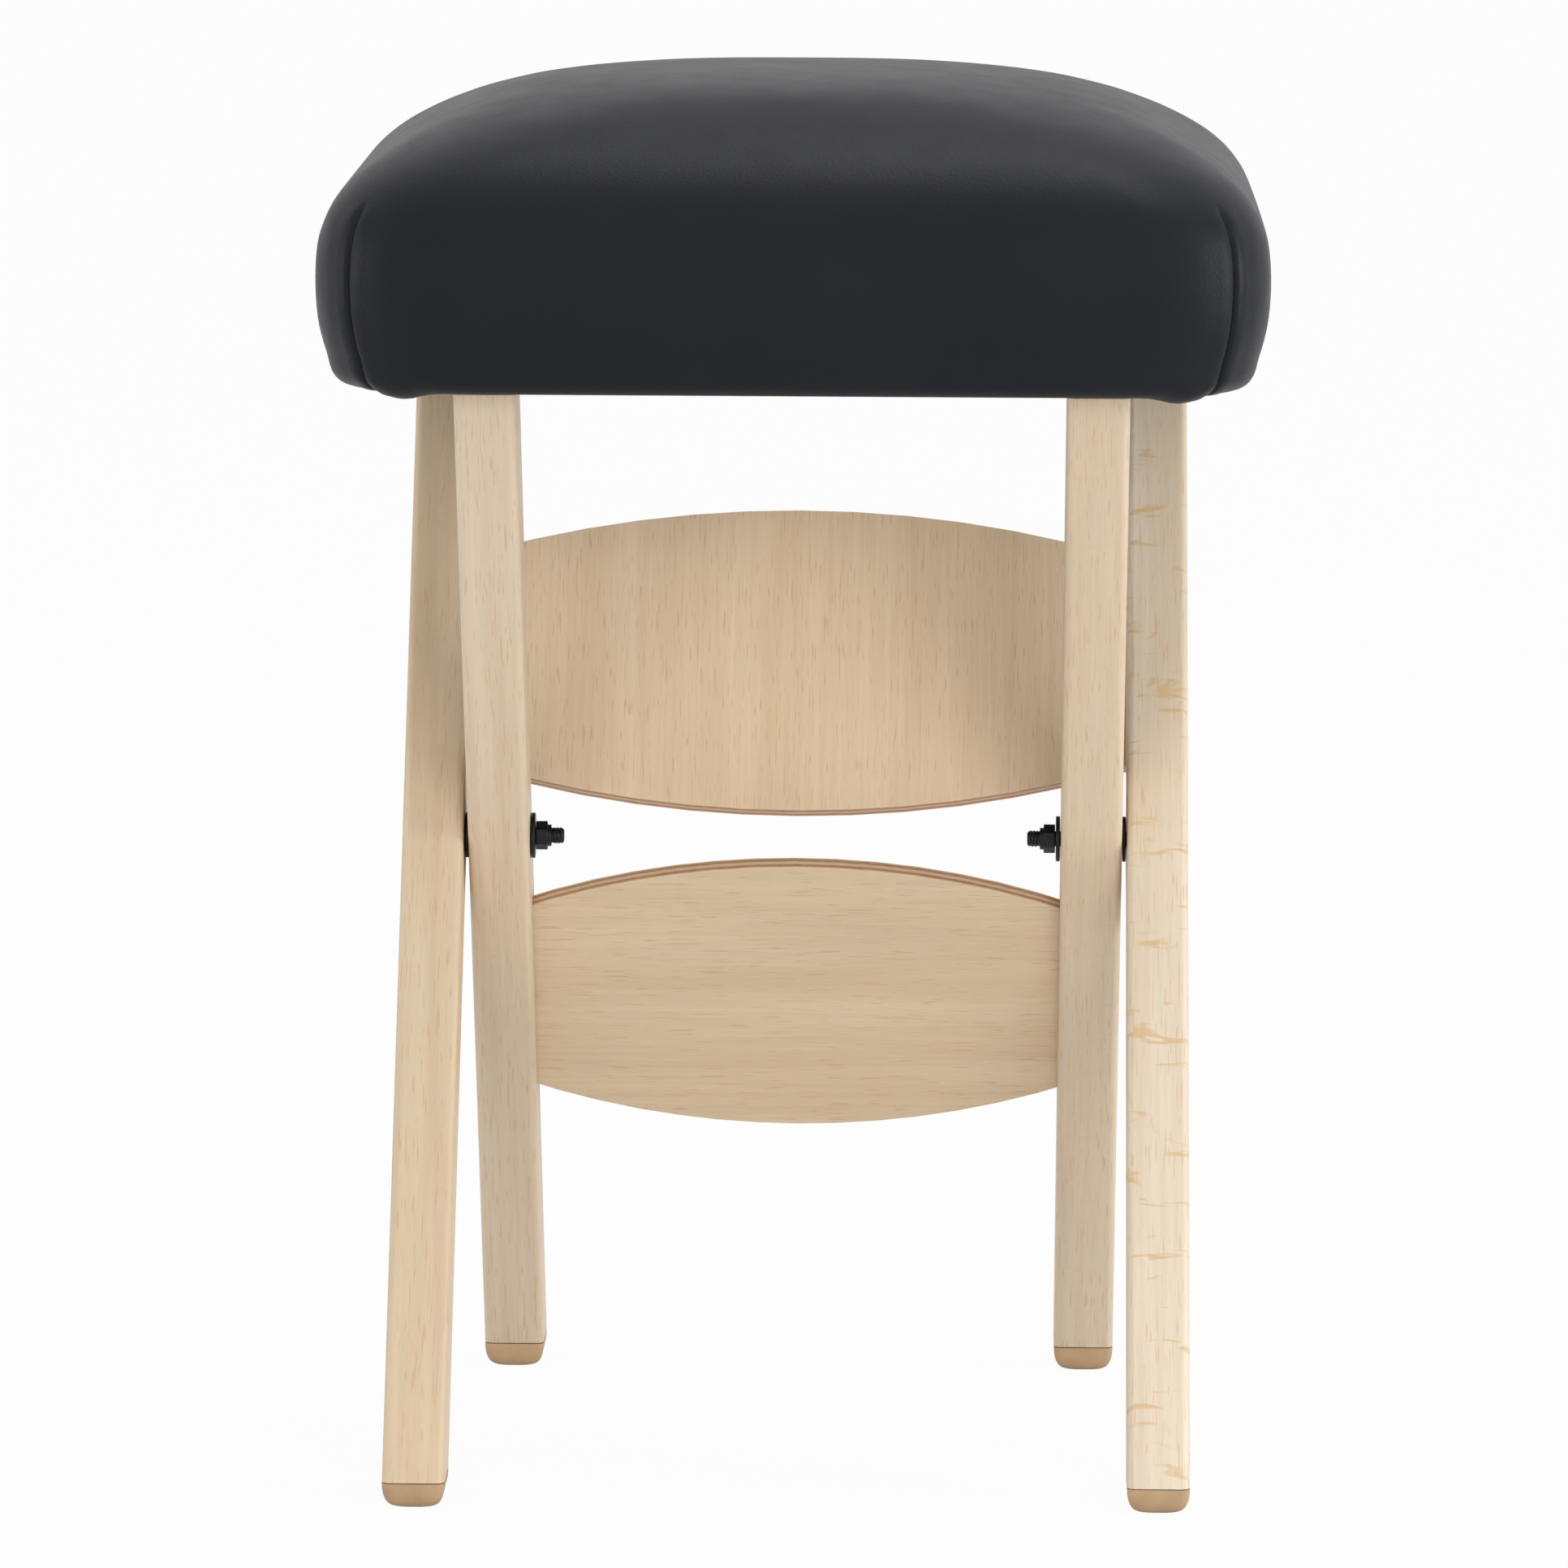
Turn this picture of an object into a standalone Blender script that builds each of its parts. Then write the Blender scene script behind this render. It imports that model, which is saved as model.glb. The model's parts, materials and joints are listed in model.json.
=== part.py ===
"""Folding stool: an upholstered pad on two pairs of crossed wooden legs.

Metres, +Z up. The origin lies on the floor under the middle of the seat, +X is to the right as
the stool is seen from the front, and the front faces -Y. The outer legs lean back at the top and
carry the seat on two butt hinges. The inner legs lean forward and hold the seat's front edge.
"""
import math

import bmesh
import bpy
from mathutils import Matrix, Vector

# Driving dimensions of the frame
FLAT_GAP = 0.0003
LEG_THICKNESS = 0.024
LEG_DEPTH = 0.030
LEG_EDGE_ROUND = 0.003
LEG_TILT = math.radians(32.5)
FRAME_WIDTH = 0.3086
PIVOT_HEIGHT = 0.2376
FOOT_HEIGHT = 0.010
FOOT_TAPER = 0.0018
FOOT_ROUND = 0.0035
FOOT_RECESS_DEPTH = 0.004
FOOT_SCREW_LENGTH = 0.018

# Driving dimensions of the two panels
UPPER_PANEL_HEIGHT = 0.1325
UPPER_PANEL_CENTRE = 0.0850
UPPER_PANEL_ARC = 0.430
UPPER_PANEL_SET_IN = 0.004
UPPER_PANEL_THICKNESS = 0.006
UPPER_SCREW_SPACING = 0.050
UPPER_SCREW_LENGTH = 0.022
LOWER_PANEL_HEIGHT = 0.1360
LOWER_PANEL_CENTRE = 0.0812
LOWER_PANEL_ARC = 0.276
LOWER_PANEL_THICKNESS = 0.006
GROOVE_DEPTH = 0.008

# Driving dimensions of the pivots
BOLT_RADIUS = 0.003
BOLT_HEAD_RADIUS = 0.007
BOLT_HEAD_THICKNESS = 0.0025
BOLT_HEAD_SINK = 0.0005
BOLT_STUB = 0.005
SPACER_THICKNESS = 0.0013
WASHER_RADIUS = 0.009
WASHER_THICKNESS = 0.0016
NUT_ACROSS_FLATS = 0.010
NUT_HEX_HEIGHT = 0.0045
NUT_COLLAR_HEIGHT = 0.0015
NUT_COLLAR_RADIUS = 0.0043

# Driving dimensions of the seat
SEAT_WIDTH = 0.370
SEAT_DEPTH = 0.350
SEAT_UNDERSIDE = 0.427
SEAT_BELOW_WIDEST = 0.030
SEAT_CROWN = 0.085
SEAT_DRAW_IN = 0.017
SEAT_CORNER_RADIUS = 0.048
SEAT_FULLNESS = 2.5
COVER_THICKNESS = 0.0012
COVER_LIP = 0.018
BOARD_THICKNESS = 0.012

# Driving dimensions of the hinges and of the seat's front locators
HINGE_WIDTH = 0.018
HINGE_LEAF_LENGTH = 0.0145
HINGE_LEAF_THICKNESS = 0.0015
KNUCKLE_RADIUS = 0.0026
KNUCKLE_MIDDLE = 0.006
HINGE_PIN_RADIUS = 0.0013
LEAF_SCREW_SPACING = 0.010
LEAF_SCREW_LENGTH = 0.0115
LOCATOR_RADIUS = 0.003
LOCATOR_PROUD = 0.007
LOCATOR_EMBED = 0.018
LOCATOR_CHAMFER = 0.001
SOCKET_LENGTH = 0.044
SOCKET_WIDTH = 0.020
SOCKET_THICKNESS = 0.0015
SOCKET_CORNER_RADIUS = 0.004
SOCKET_SCREW_SPACING = 0.032
SOCKET_SCREW_LENGTH = 0.011
SOCKET_POCKET_DEPTH = 0.006
SLOT_CLEARANCE = 0.0006
SLOT_TRAVEL = 0.0045

# Driving dimensions shared by all the wood screws
SCREW_HEAD_RADIUS = 0.0028
SCREW_SHANK_RADIUS = 0.0015
SCREW_TIP_RADIUS = 0.0004
SCREW_TIP_LENGTH = 0.003
SCREW_HEAD_DEPTH = 0.0013
HOLE_OVERRUN = 0.002

# How finely round shapes are divided
ROUND_SIDES = 24
SCREW_SIDES = 12
ARC_STEPS = 14
EDGE_STEPS = 3
CUSHION_CORNER_STEPS = 5
CUSHION_SIDE_STEPS = 3
CUSHION_LOWER_STEPS = 5
CUSHION_UPPER_STEPS = 11
CROWN_END = math.radians(86)

# Values worked out from the driving dimensions
SIDES = {"left": -1, "right": 1}
OUTER_LEAN = 1
INNER_LEAN = -1
PIVOT = Vector((0, 0, PIVOT_HEIGHT))
LEG_SPACING = SPACER_THICKNESS + 2 * FLAT_GAP
OUTER_LEG_X = (FRAME_WIDTH - LEG_THICKNESS) / 2
INNER_LEG_X = OUTER_LEG_X - LEG_THICKNESS - LEG_SPACING
INNER_FACE_X = INNER_LEG_X - LEG_THICKNESS / 2
SOCKET_UNDERSIDE = SEAT_UNDERSIDE - FLAT_GAP - SOCKET_THICKNESS
OUTER_LEG_TOP = SEAT_UNDERSIDE - FLAT_GAP
INNER_LEG_TOP = SOCKET_UNDERSIDE - FLAT_GAP
BOARD_UNDERSIDE = SEAT_UNDERSIDE + COVER_THICKNESS + FLAT_GAP
BOARD_TOP = BOARD_UNDERSIDE + BOARD_THICKNESS
HINGE_OFFSET = KNUCKLE_RADIUS + FLAT_GAP
CROWN_REACH = min(SEAT_WIDTH, SEAT_DEPTH) / 2
SCREW_HOLE_HEAD = SCREW_HEAD_RADIUS + FLAT_GAP


def clear_scene():
    """Remove whatever the file holds before the stool is built."""
    for item in list(bpy.data.objects):
        bpy.data.objects.remove(item, do_unlink=True)


def principled(name, colour, roughness, metallic=0.0):
    """A plain material with one colour."""
    material = bpy.data.materials.new(name)
    material.use_nodes = True
    shader = material.node_tree.nodes["Principled BSDF"]
    shader.inputs["Base Color"].default_value = (*colour, 1.0)
    shader.inputs["Roughness"].default_value = roughness
    shader.inputs["Metallic"].default_value = metallic
    material.diffuse_color = (*colour, 1.0)
    return material


def make_materials():
    """The stool's materials by name."""
    return {
        "beech": principled("beech", (0.68, 0.54, 0.37), 0.45),
        "plywood": principled("plywood", (0.66, 0.52, 0.36), 0.5),
        "leather": principled("leather", (0.018, 0.019, 0.022), 0.42),
        "foam": principled("foam", (0.80, 0.74, 0.52), 0.95),
        "board": principled("board", (0.52, 0.38, 0.23), 0.7),
        "cambric": principled("cambric", (0.02, 0.02, 0.02), 0.9),
        "rubber": principled("rubber", (0.50, 0.33, 0.18), 0.7),
        "black_steel": principled("black_steel", (0.02, 0.02, 0.022), 0.4, 0.8),
        "zinc": principled("zinc", (0.62, 0.62, 0.60), 0.35, 1.0),
    }


def circle(radius, sides=ROUND_SIDES):
    """Points of a circle in its own plane."""
    turns = [2 * math.pi * index / sides for index in range(sides)]
    return [(radius * math.cos(turn), radius * math.sin(turn)) for turn in turns]


def hexagon(across_flats, sides=ROUND_SIDES):
    """Points round a hexagon, one for each point of a circle with as many sides."""
    points = []
    for index in range(sides):
        turn = 2 * math.pi * index / sides
        from_flat = (turn % (math.pi / 3)) - math.pi / 6
        reach = across_flats / 2 / math.cos(from_flat)
        points.append((reach * math.cos(turn), reach * math.sin(turn)))
    return points


def rounded_rectangle(half_width, half_depth, radius, corner_steps, side_steps=1):
    """Points round a rectangle with round corners, anticlockwise from the lower right corner."""
    corners = [(1, -1, -90), (1, 1, 0), (-1, 1, 90), (-1, -1, 180)]
    points = []
    for sign_x, sign_y, start in corners:
        centre_x = sign_x * (half_width - radius)
        centre_y = sign_y * (half_depth - radius)
        arc = []
        for step in range(corner_steps + 1):
            turn = math.radians(start + 90 * step / corner_steps)
            arc.append((centre_x + radius * math.cos(turn), centre_y + radius * math.sin(turn)))
        if points:
            points.extend(between(points[-1], arc[0], side_steps))
        points.extend(arc)
    points.extend(between(points[-1], points[0], side_steps))
    return points


def between(start, end, steps):
    """The inner points of a straight run that is divided into equal steps."""
    return [
        tuple(a + (b - a) * step / steps for a, b in zip(start, end))
        for step in range(1, steps)
    ]


def link(name, mesh, material):
    """Put a mesh into the scene as a named object with its material."""
    item = bpy.data.objects.new(name, mesh)
    bpy.context.scene.collection.objects.link(item)
    if material is not None:
        mesh.materials.append(material)
    return item


def loft(name, rings, material=None, closed=False):
    """A solid skinned over rings of points, with end caps, or joined end to end when closed."""
    shape = bmesh.new()
    rows = [[shape.verts.new(point) for point in ring] for ring in rings]
    pairs = list(zip(rows, rows[1:]))
    if closed:
        pairs.append((rows[-1], rows[0]))
    for first, second in pairs:
        count = len(first)
        for index in range(count):
            after = (index + 1) % count
            shape.faces.new((first[index], first[after], second[after], second[index]))
    if not closed:
        shape.faces.new(list(reversed(rows[0])))
        shape.faces.new(rows[-1])
    bmesh.ops.recalc_face_normals(shape, faces=shape.faces)
    mesh = bpy.data.meshes.new(name)
    shape.to_mesh(mesh)
    shape.free()
    mesh.shade_smooth()
    mesh.set_sharp_from_angle(angle=math.radians(40))
    return link(name, mesh, material)


def lifted(outline, height):
    """A flat outline as a ring of points at one height."""
    return [Vector((x, y, height)) for x, y in outline]


def turned(name, profile, material=None, sides=ROUND_SIDES):
    """A round solid along +Z from its radius and height pairs."""
    return loft(name, [lifted(circle(radius, sides), height) for radius, height in profile], material)


def prism(name, outline, low, high, material=None):
    """An upright solid of one outline."""
    return loft(name, [lifted(outline, low), lifted(outline, high)], material)


def aim(item, location, direction):
    """Place an object with its local +Z along a direction."""
    turn = Vector((0, 0, 1)).rotation_difference(Vector(direction))
    item.matrix_world = Matrix.Translation(location) @ turn.to_matrix().to_4x4()


def helper(item):
    """Mark an object as a cutter or a guide, which is no piece of the stool."""
    item.hide_render = True
    item.display_type = "WIRE"
    return item


def cut(target, cutter):
    """Take one solid away from another."""
    modifier = target.modifiers.new("cut " + cutter.name, "BOOLEAN")
    modifier.operation = "DIFFERENCE"
    modifier.solver = "EXACT"
    modifier.object = cutter


def fuse(target, other):
    """Add one solid to another, so that both are a single body."""
    modifier = target.modifiers.new("fuse " + other.name, "BOOLEAN")
    modifier.operation = "UNION"
    modifier.solver = "EXACT"
    modifier.object = helper(other)


def carry(empty, pieces):
    """Hang pieces on the empty that stands on their joint's axis, without moving them."""
    for piece in pieces:
        piece.parent = empty
        piece.matrix_parent_inverse = Matrix.Translation(-empty.location)


def empty_at(name, location):
    """An empty that carries one moving group."""
    empty = bpy.data.objects.new(name, None)
    empty.location = location
    bpy.context.scene.collection.objects.link(empty)
    return empty


def leg_directions(lean):
    """Unit vectors along a leg, upward, and square to it, away from the crossing and downward."""
    along = Vector((0, lean * math.sin(LEG_TILT), math.cos(LEG_TILT)))
    outward = Vector((0, lean * math.cos(LEG_TILT), -math.sin(LEG_TILT)))
    return along, outward


def leg_place(lean, across, along_leg, out):
    """The point at a distance across the stool, along a leg and square to it, from the pivot."""
    along, outward = leg_directions(lean)
    return PIVOT + Vector((across, 0, 0)) + along * along_leg + outward * out


def along_at_height(height, out):
    """The distance along a leg at which a line of it reaches a height."""
    return (height - PIVOT_HEIGHT + out * math.sin(LEG_TILT)) / math.cos(LEG_TILT)


def leg_section():
    """The outline of a leg across its length."""
    return rounded_rectangle(LEG_THICKNESS / 2, LEG_DEPTH / 2, LEG_EDGE_ROUND, EDGE_STEPS)


def make_leg(name, lean, centre_x, top, material):
    """A leg with round long edges, cut level with the floor at both ends."""
    rings = []
    for height in (FOOT_HEIGHT, top):
        ring = []
        for across, out in leg_section():
            ring.append(leg_place(lean, centre_x + across, along_at_height(height, out), out))
        rings.append(ring)
    return loft(name, rings, material)


def leg_end(lean, centre_x):
    """The middle of a leg's lower end."""
    return leg_place(lean, centre_x, along_at_height(FOOT_HEIGHT, 0), 0)


def make_foot(name, lean, centre_x, material):
    """A rubber foot that carries on the leg's outline, tapers and rounds over at the floor."""
    end = leg_end(lean, centre_x)
    stretch = 1 / math.cos(LEG_TILT)
    levels = [(FOOT_HEIGHT - FLAT_GAP, 0.0), (FOOT_ROUND, FOOT_TAPER)]
    for step in range(1, EDGE_STEPS + 1):
        turn = math.radians(90 * step / EDGE_STEPS)
        height = FOOT_ROUND * (1 - math.sin(turn))
        levels.append((height, FOOT_TAPER + FOOT_ROUND * (1 - math.cos(turn))))
    rings = []
    for height, inset in levels:
        shrink_x = 1 - inset / (LEG_THICKNESS / 2)
        shrink_y = 1 - inset / (LEG_DEPTH / 2 * stretch)
        rings.append([
            Vector((end.x + across * shrink_x, end.y + out * stretch * shrink_y, height))
            for across, out in leg_section()
        ])
    return loft(name, rings, material)


def make_screw(name, head, direction, length, material):
    """A countersunk wood screw from the middle of its head's top."""
    profile = [
        (SCREW_HEAD_RADIUS, 0.0),
        (SCREW_SHANK_RADIUS, SCREW_HEAD_DEPTH),
        (SCREW_SHANK_RADIUS, length - SCREW_TIP_LENGTH),
        (SCREW_TIP_RADIUS, length),
    ]
    screw = turned(name, profile, material, SCREW_SIDES)
    aim(screw, head, direction)
    return screw


def screw_hole(name, head, direction, length, open_depth):
    """The countersunk hole of a screw, open over its head."""
    shank = SCREW_SHANK_RADIUS + FLAT_GAP
    profile = [
        (SCREW_HOLE_HEAD, -open_depth),
        (SCREW_HOLE_HEAD, FLAT_GAP / 2),
        (shank, SCREW_HEAD_DEPTH + FLAT_GAP),
        (shank, length + FLAT_GAP),
    ]
    hole = turned(name + "_hole", profile, None, SCREW_SIDES)
    aim(hole, head, direction)
    return helper(hole)


def fasten(name, head, direction, length, pieces, materials, open_depth=HOLE_OVERRUN):
    """A screw and its hole through the pieces that it holds."""
    hole = screw_hole(name, head, direction, length, open_depth)
    for piece in pieces:
        cut(piece, hole)
    return make_screw(name, head, direction, length, materials["zinc"])


def barrel_outline(half_length, half_height, arc, grow=0.0):
    """A panel's outline: level ends between two bowed edges that are highest in the middle."""
    reach = half_length + grow
    upper = []
    for step in range(ARC_STEPS + 1):
        across = reach * (1 - 2 * step / ARC_STEPS)
        upper.append((across, half_height + grow - (arc - math.sqrt(arc * arc - across * across))))
    return upper + [(-across, -height) for across, height in upper]


def make_panel(name, lean, centre, outline, near, far, material=None):
    """A flat panel square to a pair of legs, between two depths from their middle plane."""
    rings = []
    for out in (near, far):
        rings.append([leg_place(lean, across, centre + height, out) for across, height in outline])
    return loft(name, rings, material)


def make_ring(name, outer, bore, thickness, material):
    """A flat washer along +Z."""
    rings = [
        lifted(circle(outer), 0.0),
        lifted(circle(outer), thickness),
        lifted(circle(bore), thickness),
        lifted(circle(bore), 0.0),
    ]
    return loft(name, rings, material, closed=True)


def make_nut(name, bore, material):
    """A lock nut along +Z: a hexagon under a round collar."""
    top = NUT_HEX_HEIGHT + NUT_COLLAR_HEIGHT
    rings = [
        lifted(hexagon(NUT_ACROSS_FLATS), 0.0),
        lifted(hexagon(NUT_ACROSS_FLATS), NUT_HEX_HEIGHT),
        lifted(circle(NUT_COLLAR_RADIUS), NUT_HEX_HEIGHT),
        lifted(circle(NUT_COLLAR_RADIUS), top),
        lifted(circle(bore), top),
        lifted(circle(bore), 0.0),
    ]
    return loft(name, rings, material, closed=True)


def make_pivot(side, sign, outer_leg, inner_leg, materials):
    """The bolt that two legs turn on, with its spacer, washer and lock nut."""
    inward = Vector((-sign, 0, 0))
    steel = materials["black_steel"]
    bore = BOLT_RADIUS + FLAT_GAP
    face = FRAME_WIDTH / 2
    spacer_at = face - LEG_THICKNESS - FLAT_GAP
    washer_at = INNER_FACE_X - FLAT_GAP
    nut_at = washer_at - WASHER_THICKNESS - FLAT_GAP
    bolt_end = nut_at - NUT_HEX_HEIGHT - NUT_COLLAR_HEIGHT - BOLT_STUB
    head_at = face - BOLT_HEAD_SINK
    length = head_at - bolt_end
    point = BOLT_RADIUS / 4

    def at(distance):
        return PIVOT + Vector((sign * distance, 0, 0))

    bolt = turned("pivot_bolt_" + side, [
        (BOLT_HEAD_RADIUS, 0.0),
        (BOLT_HEAD_RADIUS, BOLT_HEAD_THICKNESS),
        (BOLT_RADIUS, BOLT_HEAD_THICKNESS),
        (BOLT_RADIUS, length - point),
        (BOLT_RADIUS - point, length),
    ], steel)
    aim(bolt, at(head_at), inward)
    hole = helper(turned("pivot_hole_" + side, [
        (BOLT_HEAD_RADIUS + FLAT_GAP, -BOLT_HEAD_SINK - HOLE_OVERRUN),
        (BOLT_HEAD_RADIUS + FLAT_GAP, BOLT_HEAD_THICKNESS + FLAT_GAP),
        (bore, BOLT_HEAD_THICKNESS + FLAT_GAP),
        (bore, length),
    ]))
    aim(hole, at(head_at), inward)
    cut(outer_leg, hole)
    cut(inner_leg, hole)
    spacer = make_ring("spacer_washer_" + side, WASHER_RADIUS, bore, SPACER_THICKNESS, steel)
    aim(spacer, at(spacer_at), inward)
    washer = make_ring("pivot_washer_" + side, WASHER_RADIUS, bore, WASHER_THICKNESS, steel)
    aim(washer, at(washer_at), inward)
    nut = make_nut("pivot_nut_" + side, bore, steel)
    aim(nut, at(nut_at), inward)
    return [bolt, spacer, washer, nut]


def hinge_axis():
    """The point of the seat's hinge axis in the stool's middle plane."""
    out = LEG_DEPTH / 2 + HINGE_OFFSET
    return leg_place(OUTER_LEAN, 0, along_at_height(SEAT_UNDERSIDE - HINGE_OFFSET, out), out)


def box(name, low, high, material=None):
    """A block between two corners."""
    outline = [(low[0], low[1]), (high[0], low[1]), (high[0], high[1]), (low[0], high[1])]
    return prism(name, outline, low[2], high[2], material)


def hinge_leaf(name, spans, frame, material):
    """A hinge leaf with its knuckles: the pin along local X, the leaf along +Y, its seat at +Z."""
    inner = KNUCKLE_RADIUS - HINGE_LEAF_THICKNESS
    plate_start = KNUCKLE_RADIUS + FLAT_GAP
    half_width = HINGE_WIDTH / 2
    leaf = box(name, (-half_width, plate_start, inner), (half_width, HINGE_LEAF_LENGTH, KNUCKLE_RADIUS),
               material)
    leaf.matrix_world = frame
    for number, (start, end) in enumerate(spans):
        label = name + "_knuckle" + str(number)
        tongue = box(label + "_tongue", (start, 0.0, inner),
                     (end, plate_start + HINGE_LEAF_THICKNESS, KNUCKLE_RADIUS - FLAT_GAP / 10))
        tongue.matrix_world = frame
        barrel = turned(label, [(KNUCKLE_RADIUS, 0.0), (KNUCKLE_RADIUS, end - start)])
        aim(barrel, (start, 0, 0), (1, 0, 0))
        barrel.matrix_world = frame @ barrel.matrix_world
        fuse(leaf, tongue)
        fuse(leaf, barrel)
    pin_hole = helper(turned(name + "_pin_hole", [
        (HINGE_PIN_RADIUS + FLAT_GAP, -half_width - HOLE_OVERRUN),
        (HINGE_PIN_RADIUS + FLAT_GAP, half_width + HOLE_OVERRUN),
    ], None, 16))
    aim(pin_hole, (0, 0, 0), (1, 0, 0))
    pin_hole.matrix_world = frame @ pin_hole.matrix_world
    cut(leaf, pin_hole)
    return leaf


def leaf_screws(name, frame, leaf, pieces, materials):
    """The two countersunk screws of a hinge leaf."""
    middle = (KNUCKLE_RADIUS + FLAT_GAP + HINGE_LEAF_LENGTH) / 2
    inner = KNUCKLE_RADIUS - HINGE_LEAF_THICKNESS
    direction = frame.to_3x3() @ Vector((0, 0, 1))
    screws = []
    for word, sign in (("outer", 1), ("inner", -1)):
        head = frame @ Vector((sign * LEAF_SCREW_SPACING / 2, middle, inner))
        screws.append(fasten(name + "_" + word, head, direction, LEAF_SCREW_LENGTH,
                             [leaf] + pieces, materials))
    return screws


def make_hinge(side, sign, outer_leg, seat_layers, materials):
    """A butt hinge between the back of an outer leg and the seat's underside."""
    half_width = HINGE_WIDTH / 2
    middle = KNUCKLE_MIDDLE / 2
    axis_point = hinge_axis() + Vector((sign * OUTER_LEG_X, 0, 0))
    along, outward = leg_directions(OUTER_LEAN)
    seat_frame = Matrix.Translation(axis_point)
    turn = Matrix((Vector((-1, 0, 0)), -along, -outward)).transposed()
    leg_frame = Matrix.Translation(axis_point) @ turn.to_4x4()
    steel = materials["zinc"]
    outer_spans = [(-half_width, -middle - FLAT_GAP), (middle + FLAT_GAP, half_width)]
    leg_leaf = hinge_leaf("hinge_leg_leaf_" + side, outer_spans, leg_frame, steel)
    seat_leaf = hinge_leaf("hinge_seat_leaf_" + side, [(-middle, middle)], seat_frame, steel)
    pin = turned("hinge_pin_" + side, [
        (HINGE_PIN_RADIUS, -half_width),
        (HINGE_PIN_RADIUS, half_width),
    ], steel, 16)
    aim(pin, axis_point, (1, 0, 0))
    leg_screws = leaf_screws("leg_leaf_screw_" + side, leg_frame, leg_leaf, [outer_leg], materials)
    seat_screws = leaf_screws("seat_leaf_screw_" + side, seat_frame, seat_leaf, seat_layers, materials)
    return [leg_leaf, pin] + leg_screws, [seat_leaf] + seat_screws


def cushion_ring(inset, height):
    """A ring of the cushion: its widest outline drawn in by an inset, at a height over the floor."""
    half_width = SEAT_WIDTH / 2 - inset
    half_depth = SEAT_DEPTH / 2 - inset
    radius = min(SEAT_CORNER_RADIUS, 0.9 * min(half_width, half_depth))
    outline = rounded_rectangle(half_width, half_depth, radius, CUSHION_CORNER_STEPS, CUSHION_SIDE_STEPS)
    return lifted(outline, height)


def cushion_side(skin, lower_steps, upper_steps, lowest=0.0):
    """Rings from the bottom edge over the widest line to the crown, at a depth under the surface."""
    power = 2 / SEAT_FULLNESS
    widest = SEAT_UNDERSIDE + SEAT_BELOW_WIDEST
    rings = []
    for step in range(lower_steps):
        turn = lowest + (math.pi / 2 - lowest) * step / lower_steps
        inset = skin + (SEAT_DRAW_IN - skin) * (1 - math.sin(turn) ** power)
        height = widest - (SEAT_BELOW_WIDEST - skin) * math.cos(turn) ** power
        rings.append(cushion_ring(inset, height))
    for step in range(upper_steps + 1):
        turn = CROWN_END * step / upper_steps
        inset = skin + (CROWN_REACH - skin) * (1 - math.cos(turn) ** power)
        height = widest + (SEAT_CROWN - skin) * math.sin(turn) ** power
        rings.append(cushion_ring(inset, height))
    return rings


def make_cover(material):
    """The leather cover: a domed shell whose lower edge turns in under the board."""
    outer = cushion_side(0.0, CUSHION_LOWER_STEPS, CUSHION_UPPER_STEPS)
    inner = cushion_side(COVER_THICKNESS, CUSHION_LOWER_STEPS, CUSHION_UPPER_STEPS)
    lip_inset = SEAT_DRAW_IN + COVER_LIP
    lip = [
        cushion_ring(lip_inset, SEAT_UNDERSIDE),
        cushion_ring(lip_inset, SEAT_UNDERSIDE + COVER_THICKNESS),
    ]
    return loft("seat_cover", list(reversed(outer)) + lip + inner, material)


def make_foam(material):
    """The foam block that fills the cover above the board."""
    skin = COVER_THICKNESS + FLAT_GAP
    base = BOARD_TOP + FLAT_GAP
    widest = SEAT_UNDERSIDE + SEAT_BELOW_WIDEST
    drop = min(1.0, (widest - base) / (SEAT_BELOW_WIDEST - skin))
    lowest = math.acos(drop ** (SEAT_FULLNESS / 2))
    return loft("seat_foam", cushion_side(skin, 3, CUSHION_UPPER_STEPS, lowest), material)


def make_board(material):
    """The plywood board under the foam."""
    inset = SEAT_DRAW_IN + FLAT_GAP
    rings = [cushion_ring(inset, BOARD_UNDERSIDE), cushion_ring(inset, BOARD_TOP)]
    return loft("seat_board", rings, material)


def make_dust_cover(material):
    """The thin cloth that closes the underside inside the turned-in edge of the cover."""
    inset = SEAT_DRAW_IN + COVER_LIP + FLAT_GAP
    ring = cushion_ring(inset, SEAT_UNDERSIDE)
    top = cushion_ring(inset, SEAT_UNDERSIDE + COVER_THICKNESS)
    return loft("dust_cover", [ring, top], material)


def locator_point(sign):
    """The middle of an inner leg's top, where the locating pin stands."""
    return leg_place(INNER_LEAN, sign * INNER_LEG_X, along_at_height(INNER_LEG_TOP, 0), 0)


def make_locator(side, sign, inner_leg, material):
    """The upright steel pin in the top of an inner leg."""
    foot = locator_point(sign) - Vector((0, 0, LOCATOR_EMBED))
    length = LOCATOR_EMBED + LOCATOR_PROUD
    pin = turned("locating_pin_" + side, [
        (LOCATOR_RADIUS, 0.0),
        (LOCATOR_RADIUS, length - LOCATOR_CHAMFER),
        (LOCATOR_RADIUS - LOCATOR_CHAMFER, length),
    ], material, 16)
    pin.location = foot
    hole = helper(turned("locating_hole_" + side, [
        (LOCATOR_RADIUS + FLAT_GAP, -FLAT_GAP),
        (LOCATOR_RADIUS + FLAT_GAP, length),
    ], None, 16))
    hole.location = foot
    cut(inner_leg, hole)
    return pin


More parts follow.
